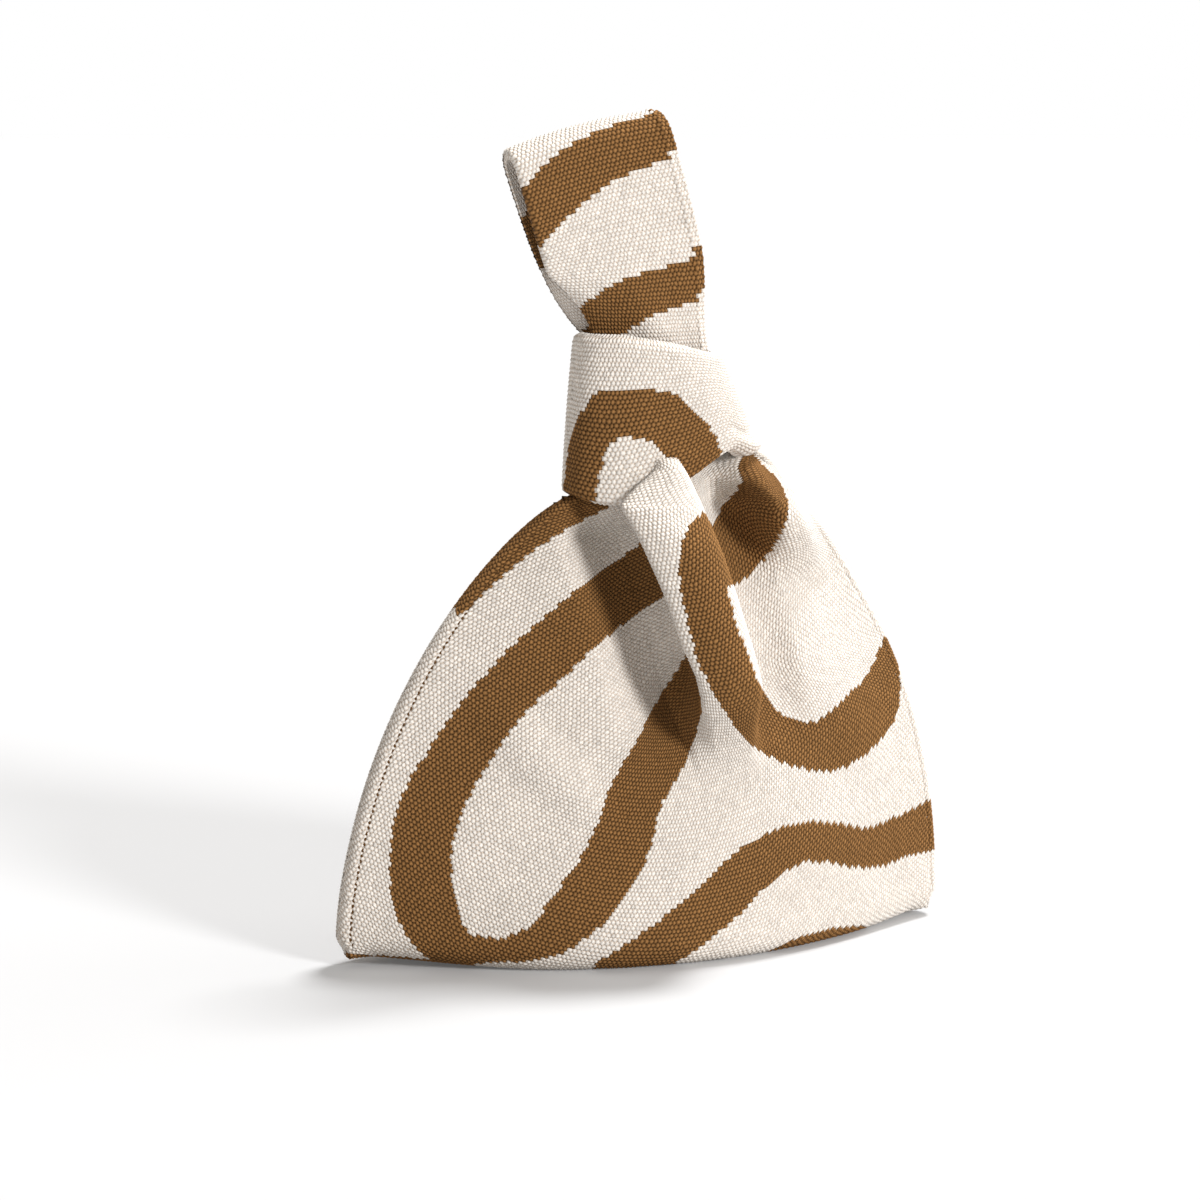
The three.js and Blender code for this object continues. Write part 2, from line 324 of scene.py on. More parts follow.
yarn = dict(
    cream=(0.87, 0.82, 0.76, 1),
    # painted shade of the cream yarn, for its pinholes and the hollows between its fibres
    creamPaintedShade=(0.52, 0.39, 0.28, 1),
    brown=(0.325, 0.162, 0.056, 1),
    # painted shade of the brown yarn, in the same places
    brownPaintedShade=(0.03, 0.013, 0.003, 1),
    link=(0.2, 0.1, 0.035, 1),
    shine=0.12,
    rough=0.93,
    fibre=1400.0,  # fibres to a metre
    grain=0.3,  # of the fibres, in the colour and in the relief
    patch=45.0,  # soft patches of tone to a metre
    patchTone=0.12,
    fill=8.0,  # how soon a pinhole is filled with yarn
    creamShadeAndHighlight=(0.7, 0.35),  # how much of the full colour a filled spot and a crown have: painted shade in the pinholes, a painted highlight on the crown
    brownShadeAndHighlight=(0.2, 0.85),
    bump=0.75,
    bumpDepth=0.0008,
)


def knitFinish(name):
    # Stitches coloured by their relief: painted shade in the pinholes, a painted highlight on the crown.
    # The face value brown picks the yarn, and tone makes one stitch darker than the next.
    made = Finish(name)
    places = made.node("ShaderNodeUVMap", dict(uv_map="stitches"), {})
    wale = made.node("ShaderNodeSeparateXYZ", {}, {0: places})
    course = wale.other(1)
    circle = 2 * math.pi
    rising = ((wale - course * 0.5) * circle).math("COSINE") * stitch["rising"]
    falling = ((wale + course * 0.5) * circle).math("COSINE") * stitch["falling"]
    level = (course * circle).math("COSINE") * stitch["level"]
    whole = stitch["rising"] + stitch["falling"] + stitch["level"] + stitch["depth"]
    wave = ((rising + falling + level + stitch["depth"]) * (1 / whole)).math("MAXIMUM", 0.0)
    crown = 1 - (1 - wave) ** stitch["flat"]
    filled = (wave * yarn["fill"]).math("MINIMUM", 1.0)
    brown = made.node("ShaderNodeAttribute", dict(attribute_name="brown"), {}, 2)
    tone = made.node("ShaderNodeAttribute", dict(attribute_name="tone"), {}, 2)
    spot = made.node("ShaderNodeTexCoord", {}, {}, 3)
    fibre = made.node("ShaderNodeTexNoise", {}, dict(Vector=spot, Scale=yarn["fibre"], Detail=2.0))
    patch = made.node("ShaderNodeTexNoise", {}, dict(Vector=spot, Scale=yarn["patch"], Detail=2.0))
    grain = (fibre - 0.5) * yarn["grain"]
    paintedLightShares = (yarn["creamShadeAndHighlight"], yarn["brownShadeAndHighlight"])
    # painted shade where the wave dips into a pinhole, a painted highlight on the crown, and the fibres'
    # grain
    inCream, inBrown = [filled * low + crown * high + grain for low, high in paintedLightShares]
    cream = made.mix(inCream, yarn["creamPaintedShade"], yarn["cream"])
    dark = made.mix(inBrown, yarn["brownPaintedShade"], yarn["brown"])
    colour = made.mix(brown, cream, dark)
    shade = tone * (patch * yarn["patchTone"] + (1 - yarn["patchTone"] / 2))
    grey = made.node("ShaderNodeCombineColor", {}, {0: shade, 1: shade, 2: shade})
    relief = crown + fibre * yarn["grain"]
    bumpSockets = dict(Strength=yarn["bump"], Distance=yarn["bumpDepth"], Height=relief)
    made.set(
        Base_Color=made.mix(1.0, colour, grey, "MULTIPLY"),
        Roughness=yarn["rough"],
        Specular_IOR_Level=yarn["shine"],
        Normal=made.node("ShaderNodeBump", {}, bumpSockets),
    )
    return made.material


knitYarn = knitFinish("two yarn knit")

# Shape of the pouch, in millimetres.
pouch = dict(
    bodyHalf=143.0,
    leftNeck=33.0,
    leftRise=202.0,  # height at which the edge reaches the neck
    leftBow=1.9,
    leftEase=0.74,
    rightNeck=46.5,
    rightRise=221.0,
    rightBow=2.45,
    rightEase=0.98,
    shoulder=5.0,  # the wall swells a little under the band's right end
    shoulderAt=(214.5, 11.0),  # middle and half height
    cornerRound=4.0,
    cornerReach=10.0,
    baseDepth=54.0,
    depthBow=1.7,
    crown=1.2,  # 1 is a round lens, more draws the sides in flat towards the seams
    turnRadius=12.0,
    leftLift=4.7,
    leftLiftFrom=(45.0, 95.0),  # distance left of the middle, and over how far it grows
    rightLift=4.5,
    rightLiftShare=0.6,  # of the half width, where it begins
    liftFade=60.0,
    top=226.0,
    leftShare=0.42,
    foldShare=0.26,
    kneeShare=0.8,
    seamInset=4.2,
    seamSink=0.55,
    seamHalf=1.1,
    sideRound=2.4,
)
fold = dict(
    tipX=-4.0,
    tipZ=218.5,
    footX=19.0,
    footZ=112.0,
    start=78.0,
    grow=50.0,
    half=20.0,
    turnStart=92.0,  # the left edge begins to turn over
    turnGrow=40.0,
    end=221.0,
    endRoll=8.0,
    tipSink=0.42,  # share of its height that the fold loses towards the tip
    tipFrom=(183.0, 38.0),  # the height where it starts, and the stretch
    sideEase=0.13,
    leftValley=17.0,
    leftValleyAt=(-1.05, 1.5),  # middle and half width, in half widths of the fold
    leftValleyEnd=(-0.98, 0.2),
    leftValleyTop=(-16.0, 22.0),  # from the band's lower edge
    rightValley=14.0,
    rightValleyAt=(1.5, 0.9),
    rightShallow=0.35,  # share of its depth that it has low down
    rightDeepens=(165.0, 35.0),
    # Height, and how far the left and the right edge stand beside the axis there.
    edges=[
        (96.0, 22.0, 17.0), (111.0, 17.8, 16.7), (122.0, 13.8, 16.4), (130.0, 13.2, 16.1),
        (143.0, 15.6, 15.7), (162.0, 16.8, 14.9), (179.0, 19.4, 14.0), (191.0, 21.2, 12.6),
        (201.0, 23.0, 11.8), (205.0, 18.0, 11.4), (209.0, 12.0, 10.8), (212.0, 7.0, 10.2),
        (215.0, 2.5, 9.4), (218.0, -1.5, 8.6), (221.0, -4.5, 7.5),
    ],
    # Across the fold, from -1 to 1: place in shares of those two distances, and height off the wall.
    profile=[
        (-1.0, -1.0, 0.0), (-0.88, -0.5, -1.0), (-0.77, -0.36, 3.5), (-0.67, -0.5, 9.0),
        (-0.57, -0.82, 14.5), (-0.48, -1.0, 19.0), (-0.37, -0.93, 22.5), (-0.12, -0.5, 26.5),
        (0.14, 0.05, 28.5), (0.36, 0.62, 27.0), (0.5, 0.94, 21.0), (0.6, 1.0, 14.0),
        (0.72, 0.86, 6.5), (0.84, 0.9, 1.5), (1.0, 1.0, 0.0),
    ],
)
ridge = dict(  # the second fold, from the band's right end down the neck's right side
    crest=[(160.0, 70.0), (172.0, 65.0), (183.0, 60.0), (199.0, 52.3), (211.0, 42.4), (222.0, 34.5)],
    start=158.0,
    grow=36.0,
    height=22.0,
    leftReach=21.0,
    rightReach=18.0,
    crestRound=3.0,
    forward=5.0,  # the whole edge comes forward this much
    forwardZ=190.0,
    forwardReach=34.0,
    forwardFrom=(0.4, 0.55),  # in half widths from the middle
    top=(-22.0, 22.0),  # where it ends under the band's lower edge
)
swells = [  # soft ridges of the filled pouch: x, z, direction in degrees, half width, half length, height
    (-61.0, 93.0, -45.0, 17.0, 46.0, 5.4),
    (-92.0, 60.0, 62.0, 26.0, 60.0, 2.4),
    (84.0, 108.0, -58.0, 24.0, 55.0, 2.0),
    (64.0, 46.0, 20.0, 22.0, 60.0, 1.5),
]
band = dict(
    lowZ=197.0,  # heights at which the two sets of widths hold
    topZ=268.0,
    low=200.0,
    # Each change of height has its degrees from the right end: the start and the stretch,
    # or for the arch its middle and half width.
    lowRise=24.5,
    lowTurn=(30.0, 105.0),
    leftLift=3.0,
    leftTurn=(130.0, 50.0),
    arch=2.2,  # the lower edge stands higher under the front's right half, and hangs at the right end
    archTurn=(70.0, 28.0),
    lip=6.5,
    lipTurn=(34.0, 24.0),
    top=273.0,
    topDrop=9.5,
    topTurn=(20.0, 110.0),
    lowX=12.0,
    lowHalf=49.5,
    lowDepth=27.0,
    topX=-0.5,
    topHalf=31.5,
    topDepth=20.5,
    square=0.85,
    slack=0.8,
    grip=(-9.0, 6.0),  # where the band begins to press the wall in, from its lower edge
    rim=3.6,
    endRim=3.5,  # more of it at the right end
    endFrom=(0.35, 0.5),
    hem=2.2,  # the lower edge is rolled at the right end
    hemAt=(4.5, 4.5),
    hollow=0.35,  # above the hem, as a share of it
    hollowAt=(11.0, 3.0),
    barrel=2.0,
    drawn=0.8,  # share of the cloth's thickness that the band has, drawn tight
    rowsLess=8.0,  # the rows are counted over this much less than the height from low to top
    wale=1.75,
    course=2.1,
    around=160,
    up=40,
)


def bandAt(z):  # middle, half width and half depth of the band's outer face, straight from edge to edge
    k = (z - band["lowZ"]) / (band["topZ"] - band["lowZ"])
    pairs = [("lowX", "topX"), ("lowHalf", "topHalf"), ("lowDepth", "topDepth")]
    return [band[a] + (band[b] - band[a]) * k for a, b in pairs]


def bandEnds(cosine):  # heights of its lower and upper edge, from the cosine of the angle from its right end
    turn = np.degrees(np.arccos(np.clip(cosine, -1, 1)))
    low = band["low"] + band["lowRise"] * (1 - ease(turn, *band["lowTurn"]))
    low = low + band["leftLift"] * ease(turn, *band["leftTurn"])
    low = low + band["arch"] * hump(turn, *band["archTurn"])
    low = low - band["lip"] * (1 - ease(turn, *band["lipTurn"]))
    return low, band["top"] - band["topDrop"] * (1 - ease(turn, *band["topTurn"]))


def bandEdge(x):  # height of the band's lower edge over x
    share = np.clip((x - band["lowX"]) / band["lowHalf"], -1, 1)
    return bandEnds(power(share, 1 / band["square"]))[0]


def bandRoom(x, z):  # half depth inside the band
    middle, half, depth = bandAt(z)
    share = np.minimum(np.abs(x - middle) / (half - cloth["thick"]), 1)
    arch = (1 - share ** (2 / band["square"])) ** (band["square"] / 2)
    return (depth - cloth["thick"]) * arch - band["slack"]


def sideEdges(z):  # the edges bow out to the base, and follow the inside of the band above the knot
    p = pouch
    height = band["topZ"] - band["lowZ"]
    leftSlope = (band["topX"] - band["topHalf"] - band["lowX"] + band["lowHalf"]) / height
    rightSlope = (band["lowX"] + band["lowHalf"] - band["topX"] - band["topHalf"]) / height
    k = np.clip(z / p["leftRise"], 0, 1)
    left = -p["leftNeck"] - (p["bodyHalf"] - p["leftNeck"]) * (1 - k ** p["leftBow"]) ** p["leftEase"]
    k = np.clip(z / p["rightRise"], 0, 1)
    right = p["rightNeck"] + (p["bodyHalf"] - p["rightNeck"]) * (1 - k ** p["rightBow"]) ** p["rightEase"]
    right = right + p["shoulder"] * hump(z, *p["shoulderAt"])
    corner = p["cornerRound"] * (1 - smooth(z / p["cornerReach"]))
    left = left + leftSlope * np.maximum(z - p["leftRise"], 0) + corner
    return left, right - rightSlope * np.maximum(z - p["rightRise"], 0) - corner


def pouchDepth(z):  # half depth, from the base's to the neck's by a power of the height
    neck = band["lowDepth"] - cloth["thick"]
    k = np.clip(z / band["lowZ"], 0, 1)
    return neck + (pouch["baseDepth"] - neck) * (1 - k ** pouch["depthBow"])


def foldX(z):  # axis of the fold: a straight line through its tip and its foot
    return fold["tipX"] + (fold["footX"] - fold["tipX"]) * (fold["tipZ"] - z) / (fold["tipZ"] - fold["footZ"])


def acrossAt(s, z):  # x of a column: three shares of the width, left of the fold, the fold and right of it
    left, right = sideEdges(z)
    a = foldX(z) - fold["half"]
    b = foldX(z) + fold["half"]
    k1 = pouch["leftShare"]
    k2 = k1 + pouch["foldShare"]
    x = np.where(s < k1, left + (a - left) * s / k1, a + (b - a) * (s - k1) / (k2 - k1))
    return np.where(s < k2, x, b + (right - b) * (s - k2) / (1 - k2))


foldLine = curveThrough(fold["profile"])
foldEdges = np.array(fold["edges"])
ridgeLine = np.array(ridge["crest"])


def foldShape(q, z):  # how far the fold moves the wall sideways and outwards; the tip is rolled over
    share = np.interp(q, foldLine[:, 0], foldLine[:, 1])
    left, right = [np.interp(z, foldEdges[:, 0], foldEdges[:, k]) for k in (1, 2)]
    inner = smooth((1 - np.abs(q)) / fold["sideEase"])
    beside = (share + 1) / 2 * (left + right) - left - q * fold["half"]
    beside = beside * inner * ease(z, fold["turnStart"], fold["turnGrow"])
    height = np.interp(q, foldLine[:, 0], foldLine[:, 2])
    height = height * (1 - fold["tipSink"] * ease(z, *fold["tipFrom"]))
    rise = np.clip((z - fold["end"] + fold["endRoll"]) / fold["endRoll"], 0, 1)
    end = np.sqrt(1 - rise**2)
    return np.where(np.abs(q) < 1, beside, 0) * end, height * end


def ridgeHeight(x, z):  # steep on the left of its crest line, gentle on the right
    beside = x - np.interp(z, ridgeLine[:, 0], ridgeLine[:, 1])
    reach = np.where(beside < 0, ridge["leftReach"], ridge["rightReach"])
    away = np.sqrt(beside**2 + ridge["crestRound"] ** 2) - ridge["crestRound"]
    free = 1 - ease(z - bandEdge(x), *ridge["top"])
    return ridge["height"] * (1 - smooth(away / reach)) * ease(z, ridge["start"], ridge["grow"]) * free


def swellHeight(x, z):  # long round humps, each turned its own way, added
    total = np.zeros(np.broadcast(x, z).shape)
    for middleX, middleZ, turn, wide, long, height in swells:
        c, d = math.cos(math.radians(turn)), math.sin(math.radians(turn))
        along = (x - middleX) * c + (z - middleZ) * d
        beside = (z - middleZ) * c - (x - middleX) * d
        total = total + height * hump(np.hypot(along / long, beside / wide), 0, 1)
    return total


def wallAt(s, z, folded):
    # Lens between the side edges, pressed into the band above its edge, with the folds and their valleys.
    left, right = sideEdges(z)
    x = acrossAt(s, z)
    place = (2 * x - left - right) / (right - left)
    edge = cloth["thick"] + cloth["clear"] / 2
    loose = edge + (pouchDepth(z) - edge) * np.maximum(1 - place**2, 0) ** pouch["crown"]
    gripped = np.maximum(np.minimum(loose, bandRoom(x, z)), edge)
    y = loose + (gripped - loose) * ease(z - bandEdge(x), *band["grip"])
    q = (x - foldX(z)) / fold["half"]
    grow = folded * ease(z, fold["start"], fold["grow"])
    beside, height = foldShape(q, z)
    fade = 1 - ease(z - band["low"], *fold["leftValleyTop"])
    deep = fold["rightShallow"] + (1 - fold["rightShallow"]) * ease(z, *fold["rightDeepens"])
    onLeft = hump(q, *fold["leftValleyAt"]) * (1 - ease(q, *fold["leftValleyEnd"])) * fade
    onRight = hump(q, *fold["rightValleyAt"]) * deep
    valleys = fold["leftValley"] * onLeft + fold["rightValley"] * onRight
    y = np.maximum(y - valleys * grow, edge) + height * grow
    y = y + folded * (ridgeHeight(x, z) + swellHeight(x, z))
    fromSeam = np.minimum(x - left, right - x)
    y = y - pouch["seamSink"] * hump(fromSeam, pouch["seamInset"], pouch["seamHalf"])
    y = y * (1 - roundEnd(fromSeam, pouch["sideRound"]) / pouch["sideRound"])
    return x + beside * grow, np.maximum(y, cloth["clear"] / 2)


def sway(s, z):  # how far the neck's right edge stands forward: a hump in height that grows towards the edge
    left, right = sideEdges(z)
    place = (2 * acrossAt(s, z) - left - right) / (right - left)
    upDown = hump(z, ridge["forwardZ"], ridge["forwardReach"])
    return ridge["forward"] * upDown * ease(place, *ridge["forwardFrom"])


def baseLift(s, z):  # the left half of the base and the right corner stand a little off the ground
    x = acrossAt(s, 0.0)
    left = pouch["leftLift"] * ease(-x, *pouch["leftLiftFrom"])
    begin = pouch["rightLiftShare"]
    right = pouch["rightLift"] * np.maximum((x / pouch["bodyHalf"] - begin) / (1 - begin), 0) ** 2
    return (left + right) * (1 - smooth(z / pouch["liftFade"]))


def panelSurface(s, t):  # the front: from the seam under the pouch, round the bottom edge and up the wall
    p = pouch
    radius = p["turnRadius"]
    seam = cloth["clear"] / 2
    wallY = wallAt(s, radius, 0)[1]
    begin = np.arcsin(np.clip((seam - wallY + radius) / (radius - cloth["thick"]), 0, 1))
    under = np.maximum(wallY - seam - radius, 0)
    turn = radius * (math.pi / 2 - begin)
    wallLow = radius * np.cos(begin)
    low = np.minimum(t / p["kneeShare"], 1) * (under + turn + p["leftRise"] - wallLow)
    path = low + np.maximum((t - p["kneeShare"]) / (1 - p["kneeShare"]), 0) * (p["top"] - p["leftRise"])
    angle = begin + np.clip(path - under, 0, turn) / radius
    z = wallLow + np.maximum(path - under - turn, 0)
    wall = wallAt(s, z, 1)
    foot = wallAt(s, wallLow, 0)[0]
    onWall = path > under + turn
    onTurn = path > under
    x = np.where(onWall, wall[0], foot)
    y = np.where(onWall, wall[1], np.where(onTurn, wallY - radius * (1 - np.sin(angle)), seam + path))
    z = np.where(onWall, z, np.where(onTurn, radius * (np.cos(begin) - np.cos(angle)), 0))
    return np.stack([x, -y, z + baseLift(s, z)], axis=-1)


def stitchWave(a, b):  # three waves at 60 degrees, added: 1 on a stitch, 0 in a pinhole
    k = stitch
    wave = k["rising"] * np.cos(2 * math.pi * (a - b / 2)) + k["falling"] * np.cos(2 * math.pi * (a + b / 2))
    wave = wave + k["level"] * np.cos(2 * math.pi * b) + k["depth"]
    return np.clip(wave / (k["rising"] + k["falling"] + k["level"] + k["depth"]), 0, 1)


def wander(a, b, source):  # smooth field of random values, one to a stitch
    values = source.normal(0, stitch["shift"], (int(a.max()) + 2, int(b.max()) + 2))
    i, j = np.floor(a).astype(int), np.floor(b).astype(int)
    u, v = smooth(a - i), smooth(b - j)
    low = values[i, j] * (1 - u) + values[i + 1, j] * u
    high = values[i, j + 1] * (1 - u) + values[i + 1, j + 1] * u
    return low * (1 - v) + high * v


def stitchOf(a, b):  # the nearest stitch: rows at whole b, every other row half a stitch along
    rows = np.stack([np.floor(b), np.floor(b) + 1])
    half = 0.5 * (rows % 2)
    columns = np.round(a - half) + half
    away = (a - columns) ** 2 + (b - rows) ** 2
    nearer = away[1] < away[0]
    return np.where(nearer, columns[1], columns[0]), np.where(nearer, rows[1], rows[0])


def knitSkin(name, points, a, b, keep, brown, seed, flip=False):
    # Grid of points lifted along its normals by the stitches; faces that keep drops are left out.
    normals = gridNormals(points) * (-1 if flip else 1)
    source = np.random.default_rng(seed)
    tones = source.normal(1, stitch["uneven"], (2 * int(a.max()) + 4, int(b.max()) + 3))
    mapA, mapB = a + wander(a, b, source), b + wander(a, b, source)
    rise = cloth["lift"] + cloth["relief"] * (1 - (1 - stitchWave(mapA, mapB)) ** stitch["flat"])
    shape = points + normals * rise[..., None]
    shape[..., 2] = np.maximum(shape[..., 2], 0)
    quads = gridQuads(*a.shape)[keep]
    obj, quads, used = makeObject(name, shape.reshape(-1, 3), quads, flip)
    middleA = (a[:-1, :-1] + a[1:, 1:])[keep] / 2
    middleB = (b[:-1, :-1] + b[1:, 1:])[keep] / 2
    column, row = stitchOf(middleA, middleB)
    column = np.clip(np.round(column * cloth["across"]).astype(int), 0, a.shape[0] - 1)
    row = np.clip(np.round(row * cloth["along"]).astype(int), 0, a.shape[1] - 1)
    setFaceValue(obj, "brown", brown[column, row])
    tones = np.clip(tones, *stitch["tones"])
    setFaceValue(obj, "tone", tones[2 * column // cloth["across"], row // cloth["along"]])
    setMap(obj, "stitches", np.stack([mapA, mapB], axis=-1).reshape(-1, 2)[used], quads)
    spots = np.stack([a, b], axis=-1).reshape(-1, 2)[used]
    spots = (spots - spots.min(0)) / np.ptp(spots, axis=0) * (1 - 2 * cloth["border"]) + cloth["border"]
    setMap(obj, "OFBake", spots, quads)
    obj.data.materials.append(knitYarn)
    print(name, len(quads) * 2, "triangles")
    return obj


def clothSheet(name, outer, inner, brown, flip=False):  # closed: outer face, inner face and the rim between
    count, rows = outer.shape[:2]
    at = np.arange(count * rows).reshape(count, rows)
    far = at + count * rows
    front = gridQuads(count, rows).reshape(-1, 4)
    rims = [
        np.stack([far[:-1, 0], far[1:, 0], at[1:, 0], at[:-1, 0]], axis=-1),
        np.stack([at[:-1, -1], at[1:, -1], far[1:, -1], far[:-1, -1]], axis=-1),
        np.stack([at[0, :-1], at[0, 1:], far[0, 1:], far[0, :-1]], axis=-1),
        np.stack([far[-1, :-1], far[-1, 1:], at[-1, 1:], at[-1, :-1]], axis=-1),
    ]
    quads = np.concatenate([front, front[:, ::-1] + count * rows, *rims])
    points = np.concatenate([outer.reshape(-1, 3), inner.reshape(-1, 3)])
    obj, quads, used = makeObject(name, points, quads, flip)
    edges = [brown[:-1, 0], brown[:-1, -1], brown[0, :-1], brown[-1, :-1]]
    setFaceValue(obj, "brown", np.concatenate([brown[:-1, :-1].ravel(), brown[:-1, :-1].ravel(), *edges]))
    # the whole sheet takes the darker tone: painted shade under the knit face
    setFaceValue(obj, "tone", np.full(len(quads), cloth["tone"]))
    steps = [np.linalg.norm(np.diff(outer, axis=k), axis=-1).mean() for k in (0, 1)]
    spots = np.stack(np.meshgrid(np.arange(count), np.arange(rows), indexing="ij"), axis=-1)
    spots = (spots * steps / [cloth["wale"], cloth["course"]]).reshape(-1, 2)
    setMap(obj, "stitches", np.concatenate([spots, spots])[used], quads)
    obj.data.materials.append(knitYarn)
    bevel = obj.modifiers.new("soft rim", "BEVEL")
    bevel.width = cloth["rim"] * mm
    bevel.segments = cloth["rimSteps"]
    bevel.angle_limit = math.radians(cloth["rimAngle"])
    return obj


panel = dict(
    columns=190,
    rows=120,
    foldRow=0.66,  # the sheet's columns are spread as the wall goes there
    arcShare=0.6,  # by this share, and the rest closer at the sides
    traceColumns=401,
    traceRows=601,
    wideBlend=70.0,
    narrowBlend=4.0,
    narrowFrom=(55.0, 85.0),  # height, and over how far the blend narrows
    slant=0.28,  # how much the rows climb on the right
    blendPlace=0.66,  # beside the fold's axis, in half widths of the fold
    leftEnd=0.485,  # share of the width where the fold's left edge turns
    under=0.35,  # the sheet lies this much deeper than the wall, so that only its knit face shows
    underFrom=(3.0, 8.0),
    underside=0.6,  # height below which the sheet shows without its knit face
    floorGap=0.2,
    least=0.14,  # share of a stitch's width under which a face is left out
    slack=0.01,
)


def panelGrid():  # the sheet's outer and inner points; the inner ones stay on their side of the middle plane
    fine = (1 - np.cos(np.linspace(0, math.pi, panel["traceColumns"]))) / 2
    steps = np.linalg.norm(np.diff(panelSurface(fine, panel["foldRow"]), axis=0), axis=-1)
    arc = np.concatenate([[0], np.cumsum(steps)])
    ends = np.linspace(0, 1, panel["columns"])
    closer = (1 - np.cos(ends * math.pi)) / 2
    s = np.interp(ends * arc[-1], arc, fine) * panel["arcShare"] + closer * (1 - panel["arcShare"])
    s, t = np.meshgrid(s, np.linspace(0, 1, panel["rows"]), indexing="ij")
    outer = panelSurface(s, t)
    normals = gridNormals(outer)
    inner = outer - normals * cloth["thick"]
    outer = outer - normals * (panel["under"] * ease(outer[..., 2:], *panel["underFrom"]))
    inner[..., 1] = np.minimum(inner[..., 1], -cloth["clear"] / 2)
    inner[..., 2] = np.maximum(inner[..., 2], baseLift(s, 0.0) + panel["floorGap"])
    return outer, inner, s


def panelWales():
    # Wales run along the left edge on its side and along the fold on the other.
    # What the neck takes in is lost between them.
    sLine = (1 - np.cos(np.linspace(0, math.pi, panel["traceColumns"]))) / 2
    tLine = np.linspace(0, 1, panel["traceRows"])
    s, t = np.meshgrid(sLine, tLine, indexing="ij")
    points = panelSurface(s, t)
    steps = np.linalg.norm(np.diff(points, axis=0), axis=-1)
    arc = np.concatenate([np.zeros((1, len(tLine))), np.cumsum(steps, axis=0)])
    z = points[..., 2]
    axis = np.argmin(np.abs(acrossAt(s, z) - foldX(z)), axis=0)
    toAxis = arc[axis, np.arange(len(tLine))]
    width = toAxis.max() + (arc[-1] - toAxis).max()
    middle = foldX(np.maximum(z, fold["footZ"])) - panel["blendPlace"] * fold["half"]
    spread = panel["wideBlend"] + (panel["narrowBlend"] - panel["wideBlend"]) * ease(z, *panel["narrowFrom"])
    share = smooth((acrossAt(s, z) - middle) / (2 * spread) + 0.5)
    u = arc + share * (toAxis.max() - toAxis)
    wales = int(width / cloth["wale"])
    a = np.linspace(0, wales, wales * cloth["across"] + 1)
    ends = a / wales * width
    traced = np.stack([np.interp(ends, u[:, j], sLine) for j in range(len(tLine))], axis=1)
    path = panelSurface(traced, np.broadcast_to(tLine, traced.shape))
    steps = np.linalg.norm(np.diff(path, axis=1), axis=-1)
    v = np.concatenate([np.zeros((len(a), 1)), np.cumsum(steps, axis=1)], axis=1)
    v = v - panel["slant"] * np.maximum(ends - toAxis.max(), 0)[:, None]
    v = v - v.min()
    courses = int(v[:, -1].max() / cloth["course"])
    b = np.linspace(0, courses, courses * cloth["along"] + 1)
    wanted = np.broadcast_to(b * cloth["course"], (len(a), len(b)))
    tAt = np.stack([np.interp(b * cloth["course"], reach, tLine) for reach in v])
    sAt = np.stack([np.interp(row, tLine, line) for row, line in zip(tAt, traced)])
    grid = panelSurface(sAt, tAt)
    inside = (wanted <= v[:, -1:] + panel["slack"]) & (wanted >= v[:, :1] - panel["slack"])
    inside = inside & (grid[..., 2] > panel["underside"])
    wide = np.linalg.norm(np.diff(grid, axis=0), axis=-1) > panel["least"] * cloth["wale"] / cloth["across"]
    keep = inside[:-1, :-1] & inside[1:, :-1] & inside[1:, 1:] & inside[:-1, 1:]
    keep = keep & wide[:, :-1] & wide[:, 1:]
    a, b = np.meshgrid(a, b, indexing="ij")
    return grid, a, b, keep, sAt


def panelBrown(points, shares):  # the fold's left edge parts the two groups of stripes
    return np.where(shares < panel["leftEnd"], brownAt(points, leftStripes), brownAt(points, rightStripes))


def makePanels():
    outer, inner, sheetShares = panelGrid()
    grid, a, b, keep, shares = panelWales()
    forward = np.array([0, -1, 0])
    skinSway = sway(shares, grid[..., 2])[..., None] * forward
    sheetSway = sway(sheetShares, outer[..., 2])[..., None] * forward
    brown = panelBrown(grid + skinSway, shares)
    sheetBrown = panelBrown(outer + sheetSway, sheetShares)
    for side, flip, seed in (("front", False, 3), ("back", True, 4)):
        turn = np.array([1, -1 if flip else 1, 1])
        faces = [points * turn + sheetSway for points in (outer, inner)]
        sheet = clothSheet(side + "_panel_cloth", *faces, sheetBrown, flip)
        skin = knitSkin(side + "_panel_knit", grid * turn + skinSway, a, b, keep, brown, seed, flip)
        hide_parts(side + "_panel")
        for piece in (sheet, skin):
            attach(piece, "pouch")


makePanels()
print("panels made")


def bandSurface(around, t):  # superellipse ring from the left over the front, with rolled rims
    angle = math.pi - 2 * math.pi * around
    low, top = bandEnds(np.cos(angle))
    fromLow = (top - low) * t
    z = low + fromLow
    middle, half, depth = bandAt(z)
    right = ease(np.cos(angle), *band["endFrom"])
    lower = roundEnd(fromLow, band["rim"] + band["endRim"] * right)
    inset = lower + roundEnd((top - low) * (1 - t), band["rim"])
    rolled = hump(fromLow, *band["hemAt"]) - band["hollow"] * hump(fromLow, *band["hollowAt"])
    inset = inset - band["hem"] * right * rolled
    inset = inset - band["barrel"] * (1 - (2 * t - 1) ** 2) * np.abs(np.sin(angle))
    x = middle + (half - inset) * power(np.cos(angle), band["square"])
    return np.stack([x, -(depth - inset) * power(np.sin(angle), band["square"]), z], axis=-1)


